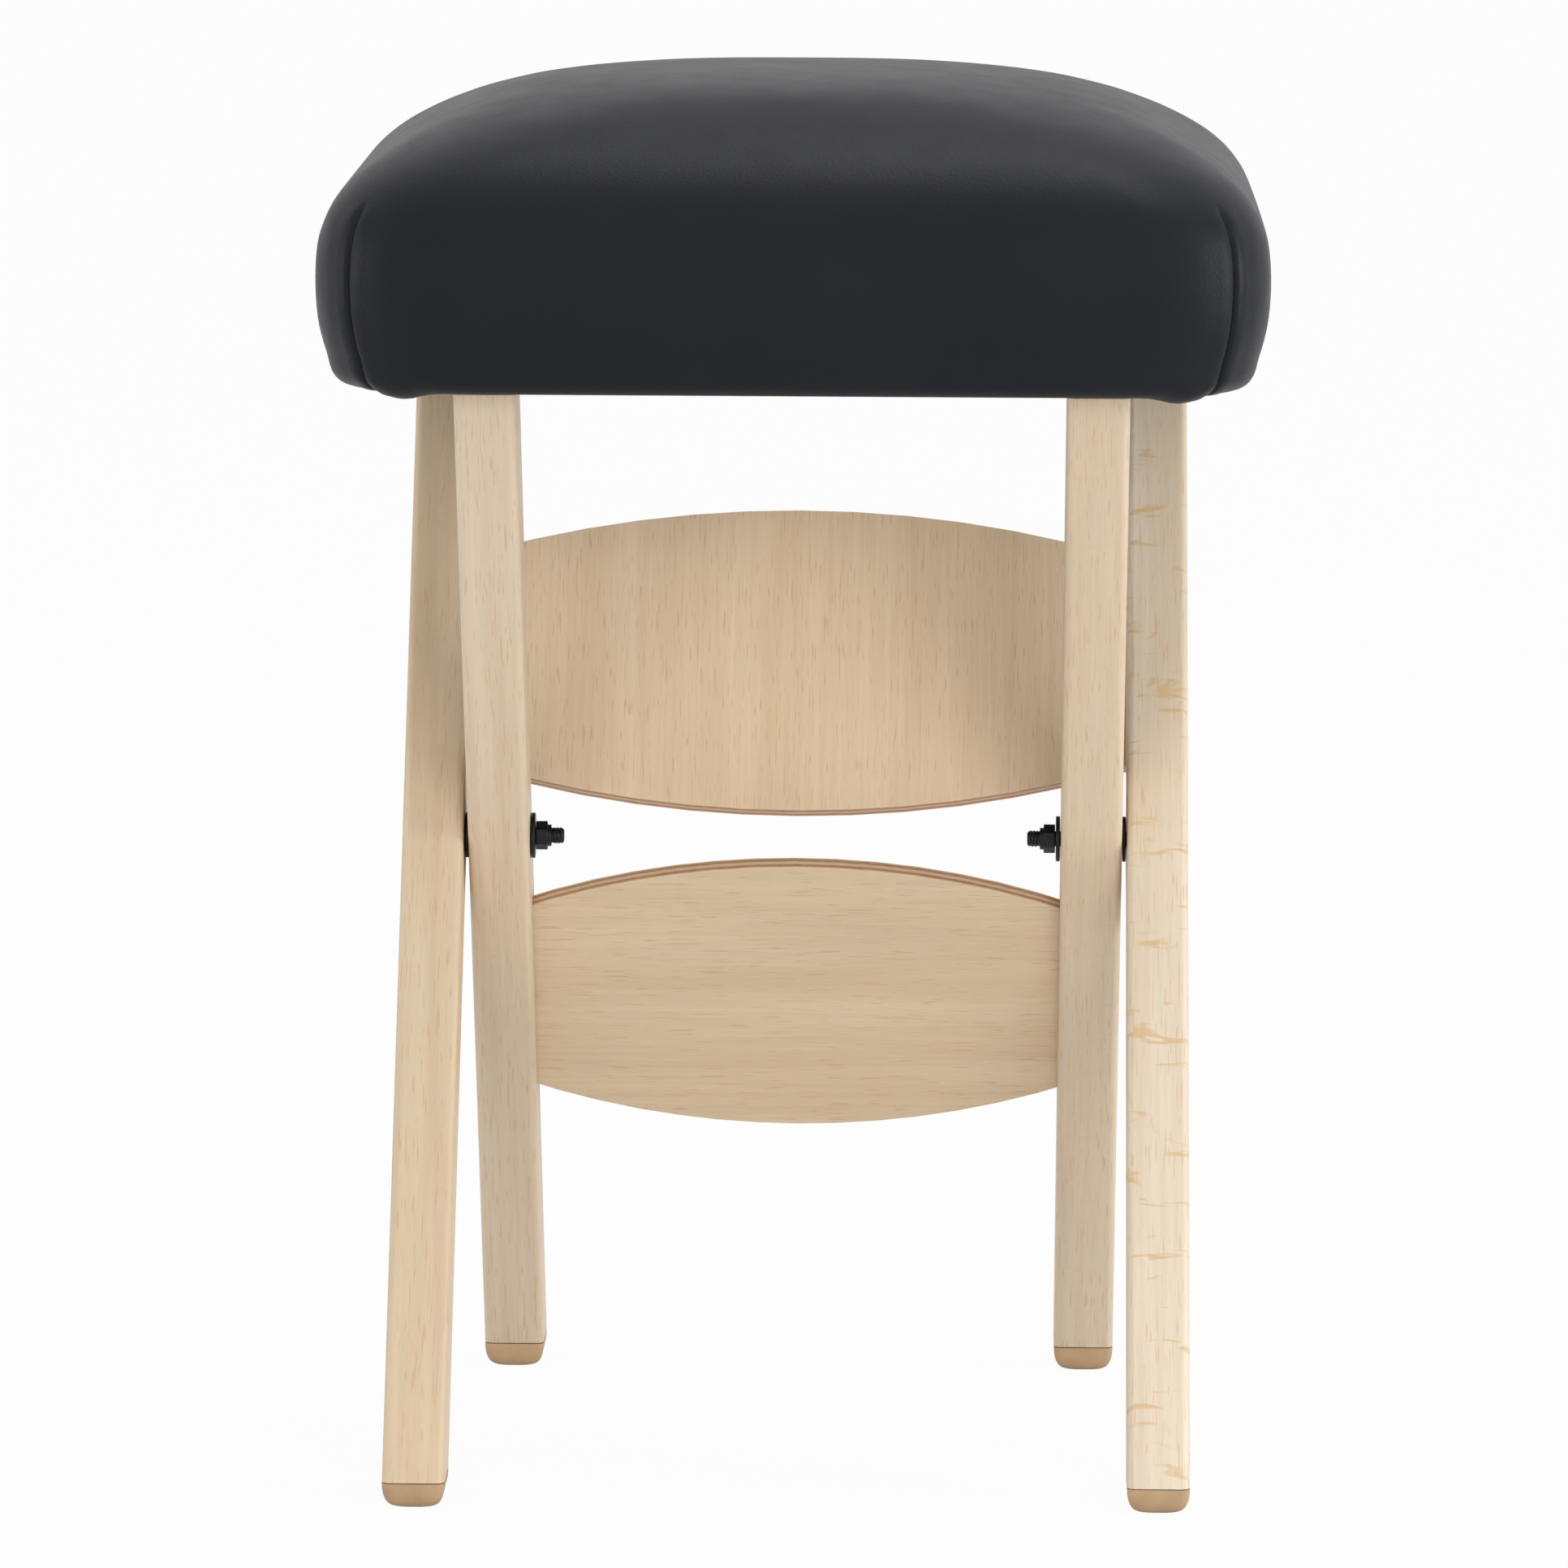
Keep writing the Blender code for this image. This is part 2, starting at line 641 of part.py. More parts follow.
def make_socket(side, sign, layers, materials):
    """The slotted plate under the seat that takes a locating pin, with its two screws."""
    centre = locator_point(sign) + Vector((0, SLOT_TRAVEL / 2, 0))
    outline = rounded_rectangle(SOCKET_LENGTH / 2, SOCKET_WIDTH / 2, SOCKET_CORNER_RADIUS, EDGE_STEPS)
    plate = prism("socket_plate_" + side, outline, 0.0, SOCKET_THICKNESS, materials["zinc"])
    plate.location = (centre.x, centre.y, SOCKET_UNDERSIDE)
    half_slot = LOCATOR_RADIUS + SLOT_CLEARANCE
    slot_outline = rounded_rectangle(half_slot, half_slot + SLOT_TRAVEL / 2, half_slot * 0.98, 5)
    pocket_top = BOARD_UNDERSIDE + SOCKET_POCKET_DEPTH
    slot = helper(prism("socket_slot_" + side, slot_outline, SOCKET_UNDERSIDE - HOLE_OVERRUN, pocket_top))
    slot.location = (centre.x, centre.y, 0)
    for piece in [plate] + layers:
        cut(piece, slot)
    screws = []
    for word, step in (("outer", sign), ("inner", -sign)):
        head = Vector((centre.x + step * SOCKET_SCREW_SPACING / 2, centre.y, SOCKET_UNDERSIDE))
        screws.append(fasten("socket_screw_" + side + "_" + word, head, (0, 0, 1), SOCKET_SCREW_LENGTH,
                             [plate] + layers, materials))
    return [plate] + screws


def make_leg_pair(word, lean, centre_x, top, foot_word, materials):
    """Two legs with their feet and foot screws."""
    legs = {}
    pieces = []
    for side, sign in SIDES.items():
        leg = make_leg(word + "_leg_" + side, lean, sign * centre_x, top, materials["beech"])
        foot = make_foot(foot_word + "_foot_" + side, lean, sign * centre_x, materials["rubber"])
        head = leg_end(lean, sign * centre_x)
        head.z = FOOT_RECESS_DEPTH
        screw = fasten(foot_word + "_foot_screw_" + side, head, (0, 0, 1), FOOT_SCREW_LENGTH,
                       [leg, foot], materials, FOOT_RECESS_DEPTH + HOLE_OVERRUN)
        legs[side] = leg
        pieces.extend([leg, foot, screw])
    return legs, pieces


def make_upper_panel(outer_legs, materials):
    """The panel screwed to the backs of the outer legs."""
    near = LEG_DEPTH / 2 + FLAT_GAP
    far = near + UPPER_PANEL_THICKNESS
    outline = barrel_outline(FRAME_WIDTH / 2 - UPPER_PANEL_SET_IN, UPPER_PANEL_HEIGHT / 2, UPPER_PANEL_ARC)
    panel = make_panel("upper_panel", OUTER_LEAN, UPPER_PANEL_CENTRE, outline, near, far,
                       materials["plywood"])
    _, outward = leg_directions(OUTER_LEAN)
    screws = []
    for side, sign in SIDES.items():
        for word, step in (("upper", 1), ("lower", -1)):
            along_leg = UPPER_PANEL_CENTRE + step * UPPER_SCREW_SPACING / 2
            head = leg_place(OUTER_LEAN, sign * OUTER_LEG_X, along_leg, far)
            screws.append(fasten("panel_screw_" + side + "_" + word, head, -outward, UPPER_SCREW_LENGTH,
                                 [panel, outer_legs[side]], materials))
    return [panel] + screws


def make_lower_panel(inner_legs, materials):
    """The panel let into grooves in the inner legs' facing sides."""
    half_length = INNER_FACE_X + GROOVE_DEPTH - FLAT_GAP
    half = LOWER_PANEL_THICKNESS / 2
    sizes = (half_length, LOWER_PANEL_HEIGHT / 2, LOWER_PANEL_ARC)
    panel = make_panel("lower_panel", INNER_LEAN, -LOWER_PANEL_CENTRE, barrel_outline(*sizes),
                       -half, half, materials["plywood"])
    groove = helper(make_panel("lower_panel_groove", INNER_LEAN, -LOWER_PANEL_CENTRE,
                               barrel_outline(*sizes, FLAT_GAP), -half - FLAT_GAP, half + FLAT_GAP))
    for leg in inner_legs.values():
        cut(leg, groove)
    return panel


def build():
    """Make every piece and hang it on the group that it moves with."""
    clear_scene()
    materials = make_materials()
    outer_legs, outer_pieces = make_leg_pair("outer", OUTER_LEAN, OUTER_LEG_X, OUTER_LEG_TOP, "front",
                                             materials)
    inner_legs, inner_pieces = make_leg_pair("inner", INNER_LEAN, INNER_LEG_X, INNER_LEG_TOP, "rear",
                                             materials)
    outer_pieces.extend(make_upper_panel(outer_legs, materials))
    inner_pieces.append(make_lower_panel(inner_legs, materials))
    cover = make_cover(materials["leather"])
    foam = make_foam(materials["foam"])
    board = make_board(materials["board"])
    dust_cover = make_dust_cover(materials["cambric"])
    seat_pieces = [cover, foam, board, dust_cover]
    seat_layers = [cover, dust_cover, board]
    for side, sign in SIDES.items():
        outer_pieces.extend(make_pivot(side, sign, outer_legs[side], inner_legs[side], materials))
        on_leg, on_seat = make_hinge(side, sign, outer_legs[side], seat_layers, materials)
        outer_pieces.extend(on_leg)
        seat_pieces.extend(on_seat)
        inner_pieces.append(make_locator(side, sign, inner_legs[side], materials["zinc"]))
        seat_pieces.extend(make_socket(side, sign, seat_layers, materials))
    outer_frame = empty_at("outer_frame", (0, 0, 0))
    inner_frame = empty_at("inner_frame", PIVOT)
    seat = empty_at("seat", hinge_axis())
    carry(inner_frame, inner_pieces)
    carry(seat, seat_pieces)
    carry(outer_frame, outer_pieces)
    for moving in (inner_frame, seat):
        moving.parent = outer_frame


build()
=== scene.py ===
"""The folding stool's looks: wood grain, leathercloth, fittings, light and camera.

Metres, +Z up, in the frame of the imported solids. The front of the stool faces -Y.
"""
import json
import math

import bmesh
import bpy
import numpy
from mathutils import Matrix, Vector
from mathutils.bvhtree import BVHTree


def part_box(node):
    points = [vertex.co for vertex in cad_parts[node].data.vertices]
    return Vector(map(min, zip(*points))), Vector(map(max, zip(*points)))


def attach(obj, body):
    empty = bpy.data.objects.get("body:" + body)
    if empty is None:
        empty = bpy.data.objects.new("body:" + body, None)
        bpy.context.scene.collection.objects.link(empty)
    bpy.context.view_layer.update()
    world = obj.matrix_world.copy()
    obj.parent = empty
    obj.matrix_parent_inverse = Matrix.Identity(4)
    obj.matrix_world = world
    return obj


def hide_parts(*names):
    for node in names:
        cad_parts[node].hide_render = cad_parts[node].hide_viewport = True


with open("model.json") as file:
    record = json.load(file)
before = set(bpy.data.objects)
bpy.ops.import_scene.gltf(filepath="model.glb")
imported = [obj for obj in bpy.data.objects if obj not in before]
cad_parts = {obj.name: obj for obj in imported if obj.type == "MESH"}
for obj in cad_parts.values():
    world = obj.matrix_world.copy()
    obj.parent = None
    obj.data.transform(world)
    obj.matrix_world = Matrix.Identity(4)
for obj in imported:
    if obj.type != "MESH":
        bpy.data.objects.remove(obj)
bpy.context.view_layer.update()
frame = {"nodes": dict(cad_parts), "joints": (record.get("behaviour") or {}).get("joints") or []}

NODES = frame["nodes"]
SIDES = {"left": -1, "right": 1}


def leg_tilt():
    """The angle that the legs lean at, from an outer leg's box less the depth of its foot."""
    low, high = map(Vector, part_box("outer_leg_left"))
    foot_low, foot_high = map(Vector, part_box("front_foot_left"))
    return math.atan2(high.y - low.y - (foot_high.y - foot_low.y), high.z - low.z)


# Sizes that the frame gives
PIVOT = Vector(frame["joints"][0]["pos_m"])
TILT = leg_tilt()
COVER_LOW, COVER_HIGH = map(Vector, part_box("seat_cover"))
BOARD_LOW, BOARD_HIGH = map(Vector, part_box("seat_board"))
LINING_HIGH = Vector(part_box("dust_cover")[1])

# The camera: where it stands, how it is turned, and its lens
PICTURE_WIDTH = 1932
CAMERA_PLACE = Vector((0.0689, -4.0638, 0.8020))
CAMERA_YAW = -0.0181
CAMERA_PITCH = 0.1329
CAMERA_ROLL = 0.0044
CAMERA_REACH = 50
FOCAL_PIXELS = 12831
SENSOR_WIDTH = 36.0

# Wood grain: how often each noise repeats in a metre, across the grain and along it, flecks by X, Y and Z
BAND_SCALES = (38, 2.2)
STREAK_SCALES = (420, 14)
PORE_SCALES = (1450, 80)
FLECK_SCALES = (34, 60, 150)

# Wood grain: how strongly the pores tint and dent it, and how far one step of the seed shifts it
PORE_TINT = 0.36
PORE_DENT = 0.8
SEED_SHIFT = (0.37, 0.21, 0.53)

# Edges of the CAD nodes: which points are one, which edges are sharp, and how far they are softened
WELD_GAP = 0.00002
SHARP_ANGLE = math.radians(50)
LEG_BEVEL = 0.0004
PANEL_BEVEL = 0.0003
SCREW_BEVEL = 0.00015
PIVOT_BEVEL = 0.00035

# The cushion's underside: the play round the board, and how far its edge and its lip are drawn in
SLIP = 0.0003
DRAW_IN = COVER_HIGH.x - BOARD_HIGH.x - SLIP
LIP_INSET = COVER_HIGH.x - LINING_HIGH.x + SLIP
LIP_DROP = 0.0002
LIP_RINGS = 5

# The cushion's form: its widest line, its corners, how square its sides bulge, and its mesh
BELOW_WIDEST = 0.042
CORNER_RADIUS = 0.048
ROUND_SHARE = 0.9
SIDE_FULLNESS = 2.65
FRONT_FULLNESS = 3.0
LOWER_FULLNESS = 2.0
CROWN_SETTLING = 0.0027
CROWN_TURN = math.radians(87)
LOWER_RINGS = 16
UPPER_RINGS = 44
DART_CROWDING = 2.2
DART_TURNS = 14
SIDE_STEPS = 14

# The cushion's swelling: the blank, the cloth's pressure, and where it is held and laid on
BLANK_UNDERSIZE = 0.0033
BLANK_VOXEL = 0.005
BLANK_STEPS = 8
BLANK_UPPER_RINGS = 22
SWELL_PRESSURE = 4.0
SWELL_FRAMES = 20
SWELL_CAP = 0.006
SWELL_EASING = 40
HELD_BELOW = 0.003
FREE_ABOVE = 0.015
LAID_ABOVE = 0.012

# The corner darts: a sewn groove between two soft shoulders, its reach counted from the corner's middle
DART_TOP = 0.072
DART_RUN_OUT = 0.93
DART_DEPTH = 0.0018
DART_WIDTH = 0.0008
DART_REACH = (0.022, 0.030)
SHOULDER_HEIGHT = 0.0006
SHOULDER_ASIDE = 0.0045
SHOULDER_WIDTH = 0.0030

# The stitches in the darts
STITCH_PITCH = 0.0060
STITCH_START = 0.008
STITCHED_SHARE = 0.88
STITCH_PULL = 0.25
STITCH_PROUD = 0.0002
STITCH_RADII = (0.00040, 0.00035, 0.00160)
PROBE_START = 0.2
PROBE_STEP = 0.002

# The cover's gathered ends, which hang at the bottom corners beside the darts
BUNCH_DROP = 0.0026
BUNCH_ASIDE = 0.011
BUNCH_WIDTH = 0.008
BUNCH_TOP = 0.014
BUNCH_REACH = (0.010, 0.024)

# The rubber feet
FOOT_FULLNESS = 2.2
FOOT_DRAW_IN = 0.0053
FOOT_CORNER_RADIUS = 0.003
FOOT_LEVELS = 12
FOOT_TURNS = 6
FOOT_SIDE_STEPS = 4
RECESS_CLEARANCE = 0.0004

# The bolts' threads: the ridge's foot is a share of the pitch, and the least height a share of the height
THREAD_PITCH = 0.0013
THREAD_STEPS = 20
THREAD_ROOT = 0.0030
THREAD_HEIGHT = 0.00035
THREAD_FOOT = 0.42
THREAD_SINK = 0.0001
THREAD_LEAST = 0.05

# The painted shade of the screws' cross recesses, a flat black cross on each head: length and width in
# shares of the head's width, and height in metres
CROSS_LENGTH = 0.62
CROSS_WIDTH = 0.16
CROSS_HEIGHT = 0.00012

# The floor, and the light of the world where it isn't seen
FLOOR_REACH = 30.0
FLOOR_DROP = 0.0002
FLOOR_GREY = 0.62
FLOOR_GLOW = 0.96
WORLD_LEVEL = 0.58


class Shade:
    """A material under construction: nodes are added by type, and sockets are linked or set."""

    def __init__(self, name):
        self.material = bpy.data.materials.new(name)
        self.material.use_nodes = True
        self.tree = self.material.node_tree
        self.shader = self.tree.nodes["Principled BSDF"]

    def put(self, socket, value):
        """Link a socket, or set its value."""
        if isinstance(value, bpy.types.NodeSocket):
            self.tree.links.new(value, socket)
        else:
            socket.default_value = value

    def add(self, kind, settings=None, **sockets):
        """A new node with its settings, and its sockets by name with _ for a space."""
        node = self.tree.nodes.new(kind)
        for key, value in (settings or {}).items():
            setattr(node, key, value)
        for key, value in sockets.items():
            self.put(node.inputs[key.replace("_", " ")], value)
        return node

    def finish(self, **sockets):
        """Set the sockets of the surface shader, and give the material."""
        for key, value in sockets.items():
            self.put(self.shader.inputs[key.replace("_", " ")], value)
        return self.material

    def coordinates(self):
        """Rest coordinates."""
        return self.add("ShaderNodeTexCoord").outputs["Object"]

    def place(self, turn, scale, shift=(0, 0, 0)):
        """Rest coordinates, turned about X and shifted, then scaled."""
        start = self.coordinates()
        turned = self.add("ShaderNodeMapping", Vector=start, Location=shift, Rotation=(turn, 0, 0))
        return self.add("ShaderNodeMapping", Vector=turned.outputs[0], Scale=scale).outputs[0]

    def noise(self, vector, scale=1.0, detail=2.0, roughness=0.5, distortion=0.0):
        """A noise field's single value."""
        node = self.add("ShaderNodeTexNoise", Vector=vector, Scale=scale, Detail=detail,
                        Roughness=roughness, Distortion=distortion)
        return node.outputs["Fac"]

    def ramp(self, factor, stops):
        """Colours or grey levels along a factor; a stop is a place and a colour or level."""
        node = self.add("ShaderNodeValToRGB", Fac=factor)
        band = node.color_ramp
        while len(band.elements) < len(stops):
            band.elements.new(0.5)
        for element, (place, tone) in zip(band.elements, stops):
            element.position = place
            element.color = (tone, tone, tone, 1.0) if isinstance(tone, (int, float)) else tone
        return node.outputs["Color"]

    def mix(self, factor, first, second, blend="MIX"):
        """Two colours mixed by a factor."""
        node = self.add("ShaderNodeMix", {"data_type": "RGBA", "blend_type": blend})
        self.put(node.inputs[0], factor)
        self.put(node.inputs[6], first)
        self.put(node.inputs[7], second)
        return node.outputs[2]

    def math(self, operation, first, second=0.0):
        """One arithmetic step."""
        node = self.add("ShaderNodeMath", {"operation": operation})
        self.put(node.inputs[0], first)
        self.put(node.inputs[1], second)
        return node.outputs[0]

    def bump(self, height, strength, distance):
        """A bumped normal."""
        node = self.add("ShaderNodeBump", Height=height, Strength=strength, Distance=distance)
        return node.outputs["Normal"]


def colour(red, green, blue):
    """A colour that is written as it looks on a screen, 0 to 255, for the shaders."""
    levels = []
    for value in (red, green, blue):
        share = value / 255
        levels.append(share / 12.92 if share <= 0.04045 else ((share + 0.055) / 1.055) ** 2.4)
    return (*levels, 1.0)


def paint(name, material):
    """Give a CAD node a material."""
    mesh = NODES[name].data
    mesh.materials.clear()
    mesh.materials.append(material)


def wood(name, turn, along_axis, tones, seed, fleck=0.0, layers=None):
    """Clear-lacquered beech: soft bands, fine pores along the grain, and ray flecks where asked."""
    shade = Shade(name)
    shift = tuple(seed * step for step in SEED_SHIFT)

    def grain(scales, **settings):
        """A noise that is drawn out along the grain."""
        across, along = scales
        scale = [across, across, across]
        scale[along_axis] = along
        return shade.noise(shade.place(turn, tuple(scale), shift), **settings)

    bands = grain(BAND_SCALES, detail=3.0, roughness=0.55, distortion=0.6)
    tint = shade.ramp(bands, [(0.30, tones[0]), (0.72, tones[1])])
    fine = grain(STREAK_SCALES, detail=2.0, roughness=0.6)
    fine_level = shade.ramp(fine, [(0.35, 0.93), (0.68, 1.0)])
    tint = shade.mix(1.0, tint, fine_level, "MULTIPLY")
    pores = grain(PORE_SCALES, detail=1.0)
    pore_mask = shade.ramp(pores, [(0.62, 0.0), (0.68, 1.0)])
    pore_amount = shade.math("MULTIPLY", pore_mask, PORE_TINT)
    tint = shade.mix(pore_amount, tint, colour(188, 143, 98))
    if fleck > 0:
        ray_place = shade.place(turn, FLECK_SCALES, shift)
        rays = shade.noise(ray_place, detail=2.0, roughness=0.55, distortion=1.1)
        ray_mask = shade.ramp(rays, [(0.60, 0.0), (0.68, 1.0)])
        ray_amount = shade.math("MULTIPLY", ray_mask, fleck)
        tint = shade.mix(ray_amount, tint, colour(206, 172, 126))
    if layers is not None:
        tint = layers(shade, tint, turn)
    dents = shade.math("SUBTRACT", fine, shade.math("MULTIPLY", pore_mask, PORE_DENT))
    sheen = shade.ramp(bands, [(0.2, 0.38), (0.8, 0.50)])
    relief = shade.bump(dents, strength=0.12, distance=0.0002)
    return shade.finish(Base_Color=tint, Roughness=sheen, Normal=relief, Specular_IOR_Level=0.4)


def ply_layers(middle, thickness):
    """Brown inner plies at a panel's edges, by the depth below its two faces."""
    def layer(shade, face_tint, turn):
        coordinates = shade.place(turn, (1, 1, 1))
        depth = shade.add("ShaderNodeSeparateXYZ", Vector=coordinates).outputs["Y"]
        share = shade.math("DIVIDE", shade.math("SUBTRACT", depth, middle - thickness / 2), thickness)
        grain = shade.noise(shade.place(turn, (260, 900, 260)))
        dark = colour(178, 128, 90)
        light = colour(232, 203, 168)
        stripes = shade.ramp(share, [
            (0.08, 0.2), (0.16, 1.0), (0.30, 1.0), (0.38, 0.0),
            (0.58, 0.0), (0.66, 1.0), (0.80, 1.0), (0.88, 0.2),
        ])
        core = shade.mix(stripes, light, dark)
        core = shade.mix(0.25, core, shade.ramp(grain, [(0.3, dark), (0.7, light)]))
        inside = shade.ramp(share, [(0.03, 0.0), (0.09, 1.0), (0.91, 1.0), (0.97, 0.0)])
        return shade.mix(inside, face_tint, core)
    return layer


def leather():
    """Black leathercloth: fine pebbled grain, a soft sheen and faint wear."""
    shade = Shade("black_leathercloth")
    coordinates = shade.coordinates()
    cells = shade.add("ShaderNodeTexVoronoi", {"feature": "SMOOTH_F1"}, Vector=coordinates, Scale=950.0)
    pebble = shade.math("MULTIPLY", cells.outputs["Distance"], 0.7)
    fine = shade.noise(coordinates, scale=2400.0, detail=2.0, roughness=0.6)
    grain = shade.math("ADD", pebble, shade.math("MULTIPLY", fine, 0.3))
    cloud = shade.noise(coordinates, scale=16.0, detail=3.0, roughness=0.55)
    tint = shade.ramp(cloud, [(0.3, colour(24, 25, 30)), (0.75, colour(28, 29, 34))])
    wear = shade.noise(coordinates, scale=60.0, detail=3.0, roughness=0.6)
    rough = shade.ramp(wear, [(0.3, 0.40), (0.7, 0.45)])
    relief = shade.bump(grain, strength=0.22, distance=0.0004)
    return shade.finish(Base_Color=tint, Roughness=rough, Normal=relief, Specular_IOR_Level=0.12)


def rubber():
    """Matt tan rubber with a moulded skin."""
    shade = Shade("tan_rubber")
    coordinates = shade.coordinates()
    cloud = shade.noise(coordinates, scale=90.0, detail=3.0, roughness=0.6)
    tint = shade.ramp(cloud, [(0.3, colour(174, 143, 109)), (0.75, colour(187, 156, 121))])
    skin = shade.noise(coordinates, scale=1600.0, detail=2.0, roughness=0.6)
    relief = shade.bump(skin, strength=0.15, distance=0.0003)
    return shade.finish(Base_Color=tint, Roughness=0.62, Normal=relief)


def metal(name, dark, bright, roughness, metallic, scratch_scale=300):
    """Plated or blackened steel with uneven tone and fine scratches."""
    shade = Shade(name)
    cloud = shade.noise(shade.coordinates(), scale=320.0, detail=3.0, roughness=0.6)
    tint = shade.ramp(cloud, [(0.3, dark), (0.75, bright)])
    scratches = shade.noise(shade.place(0.0, (scratch_scale, scratch_scale * 8, scratch_scale)))
    rough = shade.ramp(scratches, [(0.3, roughness - 0.07), (0.7, roughness + 0.07)])
    relief = shade.bump(scratches, strength=0.08, distance=0.0001)
    return shade.finish(Base_Color=tint, Metallic=metallic, Roughness=rough, Normal=relief)


def lining():
    """Thin black lining cloth with a fine woven surface."""
    shade = Shade("lining_cloth")
    coordinates = shade.coordinates()
    warp = shade.add("ShaderNodeTexWave", {"bands_direction": "X"}, Vector=coordinates, Scale=420.0)
    weft = shade.add("ShaderNodeTexWave", {"bands_direction": "Y"}, Vector=coordinates, Scale=420.0)
    weave = shade.math("MULTIPLY", warp.outputs["Fac"], weft.outputs["Fac"])
    tint = shade.ramp(weave, [(0.1, colour(22, 22, 24)), (0.8, colour(46, 46, 49))])
    relief = shade.bump(weave, strength=0.3, distance=0.0003)
    return shade.finish(Base_Color=tint, Roughness=0.9, Normal=relief)


def mottled(name, first, second, scale, roughness):
    """A matt material with a mottled tone, for the pieces inside the seat."""
    shade = Shade(name)
    cloud = shade.noise(shade.coordinates(), scale=scale, detail=4.0, roughness=0.6)
    tint = shade.ramp(cloud, [(0.3, first), (0.7, second)])
    relief = shade.bump(cloud, strength=0.2, distance=0.0005)
    return shade.finish(Base_Color=tint, Roughness=roughness, Normal=relief)


def refine(name, bevel):
    """Weld a CAD node's triangles for shading, soften its sharp edges and keep its flats flat."""
    item = NODES[name]
    mesh = item.data
    if "custom_normal" in mesh.attributes:
        mesh.attributes.remove(mesh.attributes["custom_normal"])
    mesh.shade_smooth()
    weld = item.modifiers.new("weld", "WELD")
    weld.merge_threshold = WELD_GAP
    soften = item.modifiers.new("soften", "BEVEL")
    soften.width = bevel
    soften.segments = 2
    soften.limit_method = "ANGLE"
    soften.angle_limit = SHARP_ANGLE
    soften.use_clamp_overlap = True
    level = item.modifiers.new("flats", "WEIGHTED_NORMAL")
    level.keep_sharp = True
    level.weight = 60


def panel_depth(name, turn):
    """The middle and the thickness of a panel along Y once it is turned upright, from its points."""
    depths = [
        point.co.y * math.cos(turn) - point.co.z * math.sin(turn)
        for point in NODES[name].data.vertices
    ]
    return (min(depths) + max(depths)) / 2, max(depths) - min(depths)


def dress_wood():
    """Grain along each leg, up the upper panel and across the lower one."""
    upright_axis = 2
    level_axis = 0
    inner_tones = (colour(224, 207, 182), colour(209, 186, 158))
    # Painted shade and light: the outer left leg's darker, warmer tones stand for its shade, and the outer
    # right leg's paler tones for the light on its side
    legs = {
        "outer_leg_left": (1, (colour(217, 197, 168), colour(203, 177, 145)), 0.0),
        "inner_leg_left": (2, inner_tones, 0.0),
        "inner_leg_right": (3, inner_tones, 0.12),
        "outer_leg_right": (4, (colour(225, 211, 190), colour(211, 192, 166)), 0.8),
    }
    for name, (seed, tones, fleck) in legs.items():
        turn = TILT if name.startswith("outer") else -TILT
        paint(name, wood("beech_" + name, turn, upright_axis, tones, seed, fleck))
        refine(name, LEG_BEVEL)
    panels = {
        # Painted light: the upper panel's paler, warmer tones brighten it against the seat's shade and warm
        # it like bounced light
        "upper_panel": (TILT, upright_axis, 6, (colour(240, 216, 184), colour(228, 199, 163))),
        "lower_panel": (-TILT, level_axis, 7, (colour(225, 204, 173), colour(213, 188, 155))),
    }
    for name, (turn, along_axis, seed, tones) in panels.items():
        layers = ply_layers(*panel_depth(name, turn))
        paint(name, wood("veneer_" + name, turn, along_axis, tones, seed, layers=layers))
        refine(name, PANEL_BEVEL)


def dress_fittings():
    """Finishes of the pivots, the hinges, the screws and the inside of the seat."""
    black = metal("black_steel", colour(24, 24, 26), colour(38, 38, 41), roughness=0.42, metallic=0.6)
    zinc = metal("zinc_steel", colour(176, 178, 178), colour(205, 206, 203), roughness=0.34, metallic=1.0)
    for name in NODES:
        if "screw" in name or name.startswith(("hinge", "socket", "locating")):
            paint(name, zinc)
            refine(name, SCREW_BEVEL)
        elif name.startswith(("pivot", "spacer")):
            paint(name, black)
            refine(name, PIVOT_BEVEL)
    board = mottled("raw_board", colour(178, 148, 110), colour(196, 166, 128), scale=60.0, roughness=0.8)
    foam = mottled("foam", colour(226, 214, 178), colour(238, 228, 196), scale=500.0, roughness=0.95)
    paint("dust_cover", lining())
    paint("seat_board", board)
    paint("seat_foam", foam)
    return black


def smooth_step(value, low, high):
    """0 below low, 1 above high and smooth between."""
    share = max(0.0, min(1.0, (value - low) / (high - low)))
    return share * share * (3 - 2 * share)


def bell(value, middle, width):
    """A bell curve with its top of 1 at the middle."""
    return math.exp(-((value - middle) / width) ** 2)


def even_turns(count):
    """Angles in degrees through a corner's round, evenly spaced."""
    return [90 * step / count for step in range(count + 1)]


def dart_turns(count):
    """Angles through a corner's round that crowd together at its middle, where the dart is sewn."""
    steps = [45 * (step / count) ** DART_CROWDING for step in range(count + 1)]
    return [45 - turn for turn in reversed(steps)] + [45 + turn for turn in steps[1:]]


def rounded_ring(half_width, half_depth, radius, height, spacing):
    """Points round a rectangle with round corners at one height, spaced by corner angles and side steps."""
    turns, side_steps = spacing
    arcs = []
    for sign_x, sign_y, start in ((1, -1, -90), (1, 1, 0), (-1, 1, 90), (-1, -1, 180)):
        middle = Vector((sign_x * (half_width - radius), sign_y * (half_depth - radius), height))
        angles = [math.radians(start + turn) for turn in turns]
        arcs.append([middle + radius * Vector((math.cos(angle), math.sin(angle), 0)) for angle in angles])
    points = []
    for index, arc in enumerate(arcs):
        after = arcs[(index + 1) % len(arcs)][0]
        points.extend(arc)
        points.extend(arc[-1].lerp(after, step / side_steps) for step in range(1, side_steps))
    return points


